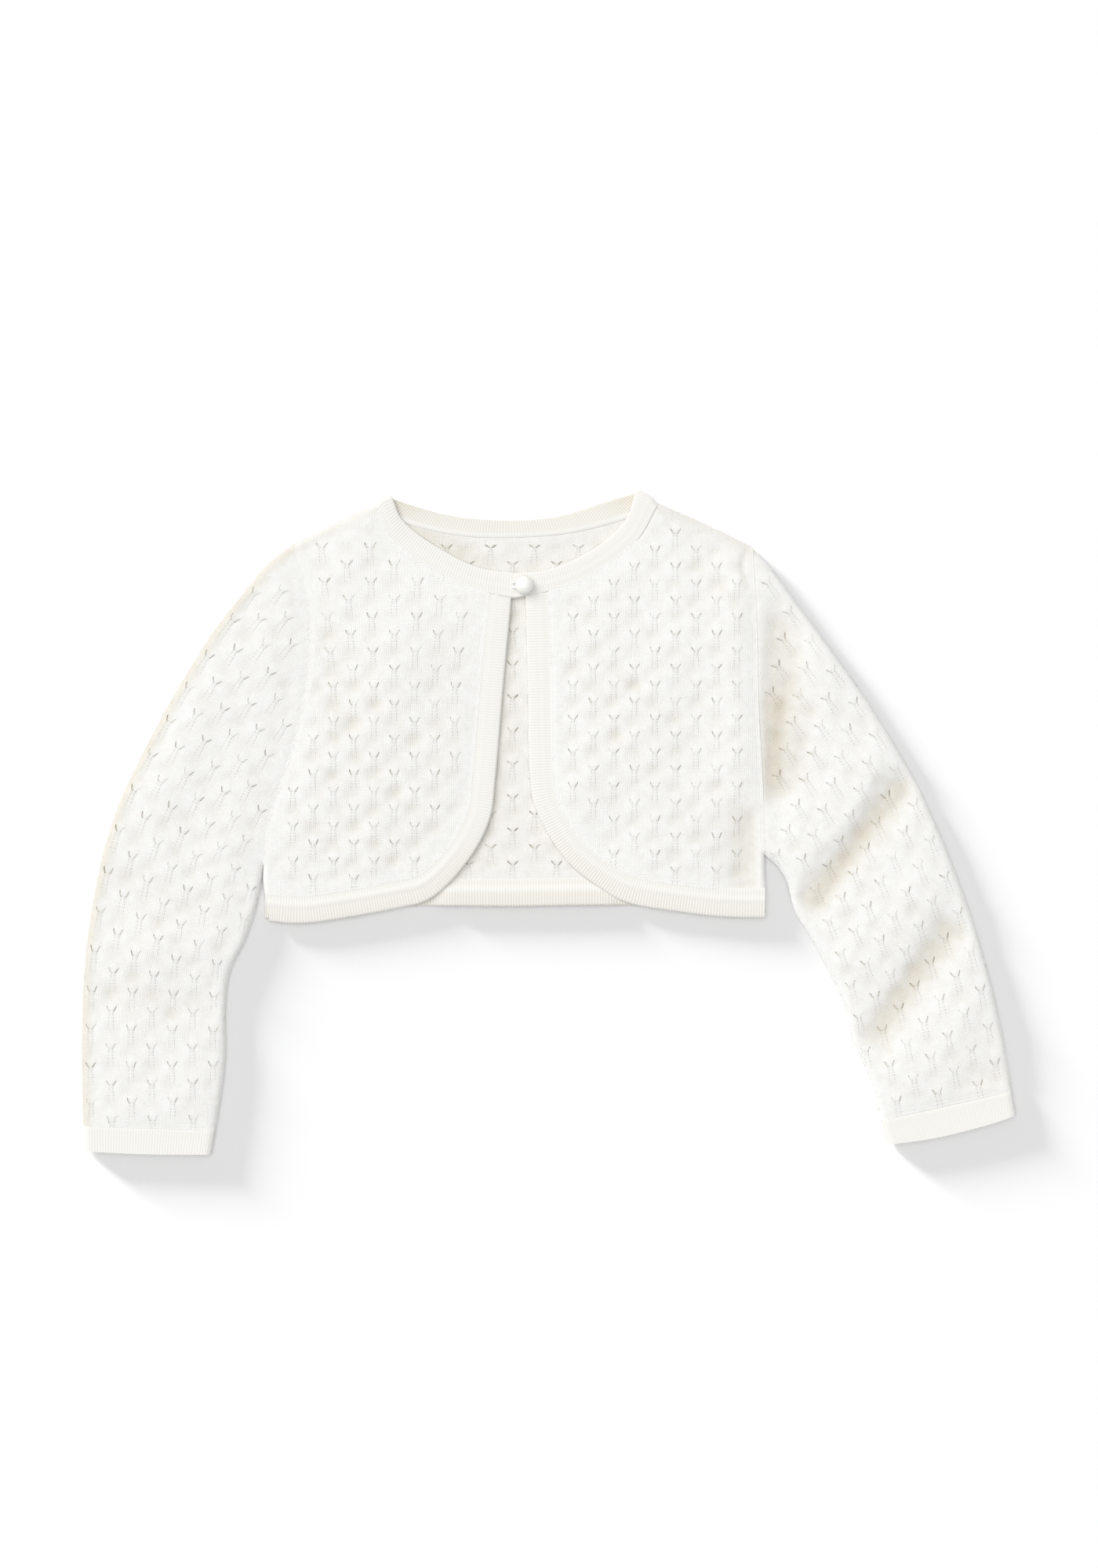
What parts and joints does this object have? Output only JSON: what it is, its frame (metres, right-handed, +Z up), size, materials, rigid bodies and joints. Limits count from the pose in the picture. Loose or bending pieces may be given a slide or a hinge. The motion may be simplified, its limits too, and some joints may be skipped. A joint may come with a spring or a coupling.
{
  "type": "pointelle cropped cardigan",
  "caption": "Child's long-sleeved cropped cardigan in pointelle knit, laid flat with its front up, rounded front edges, ribbed trims and a pearl button with a thread loop at the neck.",
  "frame": {"origin": "on the flat underside of the back panel, on the centre line, about halfway between the hem and the neck", "axes": "+Z up from the surface that it lies on, +Y towards the neck, +X towards the wearer's left"},
  "size_m": [0.5355, 0.3807, 0.0107],
  "materials": {
    "knit": "matte ivory cotton pointelle jersey",
    "rib": "matte ivory cotton rib",
    "thread": "ivory sewing thread",
    "pearl": "pearlescent"
  },
  "bodies": {
    "root": {"back_panel": "knit", "back_hem_band": "rib", "neckband": "rib", "front_right": "knit", "front_left": "knit", "front_band_right": "rib", "front_band_left": "rib", "sleeve_right": "knit", "sleeve_left": "knit", "cuff_right": "rib", "cuff_left": "rib", "button": "pearl", "button_loop": "thread"}
  },
  "joints": []
}
